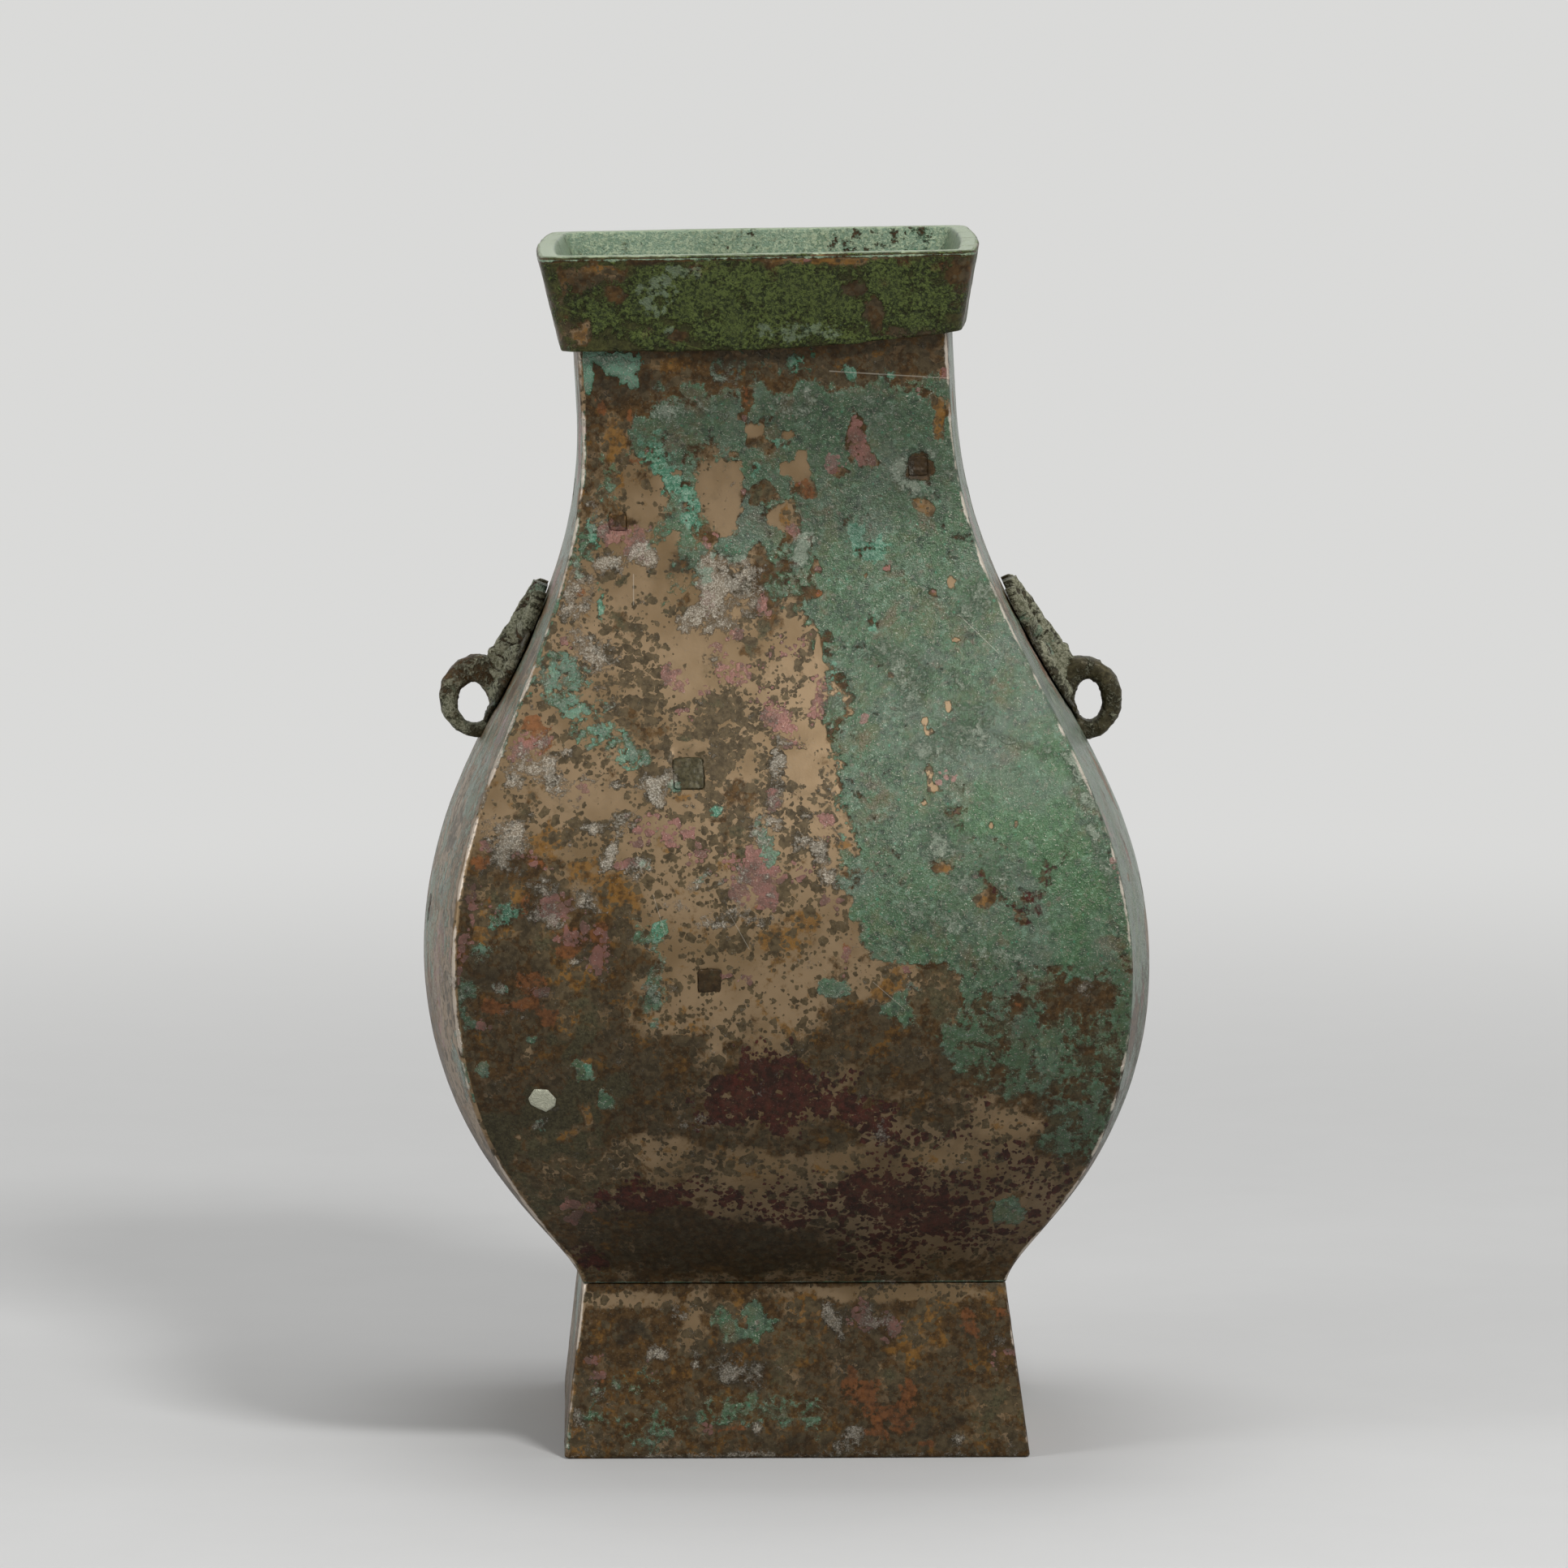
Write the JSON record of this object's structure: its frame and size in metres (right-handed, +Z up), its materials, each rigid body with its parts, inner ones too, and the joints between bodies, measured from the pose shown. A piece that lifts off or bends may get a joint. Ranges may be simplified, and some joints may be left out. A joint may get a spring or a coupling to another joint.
{
  "type": "ritual wine jar",
  "caption": "Square bronze wine jar with bulging ridged walls, a flared foot, a thick mouth collar and animal-mask plates with fixed nose loops on its sides.",
  "frame": {"origin": "on the ground under the middle of the jar's bounding box", "axes": "+Z up through the mouth, -Y out of the front wall, +X out of the right wall with its mask"},
  "size_m": [0.2248, 0.2248, 0.3691],
  "materials": {
    "body_bronze": "aged bronze, brown with green patina and pitting",
    "foot_bronze": "dark brown aged bronze with green and orange crust",
    "collar_bronze": "olive green crusted bronze, worn brown in places",
    "inner_bronze": "pale grey-green matte patina",
    "mask_bronze": "grey-green rough patina",
    "spacer_bronze": "dark corroded bronze"
  },
  "bodies": {
    "root": {"foot": "foot_bronze", "floor_plate": "inner_bronze", "body_wall": "body_bronze", "mouth_collar": "collar_bronze", "mask_left": "mask_bronze", "mask_right": "mask_bronze", "spacer_front_1": "spacer_bronze", "spacer_front_2": "spacer_bronze", "spacer_front_3": "spacer_bronze", "spacer_front_4": "spacer_bronze", "spacer_front_5": "spacer_bronze", "spacer_right_1": "spacer_bronze", "spacer_right_2": "spacer_bronze", "spacer_right_3": "spacer_bronze", "spacer_right_4": "spacer_bronze", "spacer_back_1": "spacer_bronze", "spacer_back_2": "spacer_bronze", "spacer_back_3": "spacer_bronze", "spacer_back_4": "spacer_bronze", "spacer_back_5": "spacer_bronze", "spacer_left_1": "spacer_bronze", "spacer_left_2": "spacer_bronze", "spacer_left_3": "spacer_bronze", "spacer_left_4": "spacer_bronze"}
  },
  "joints": []
}
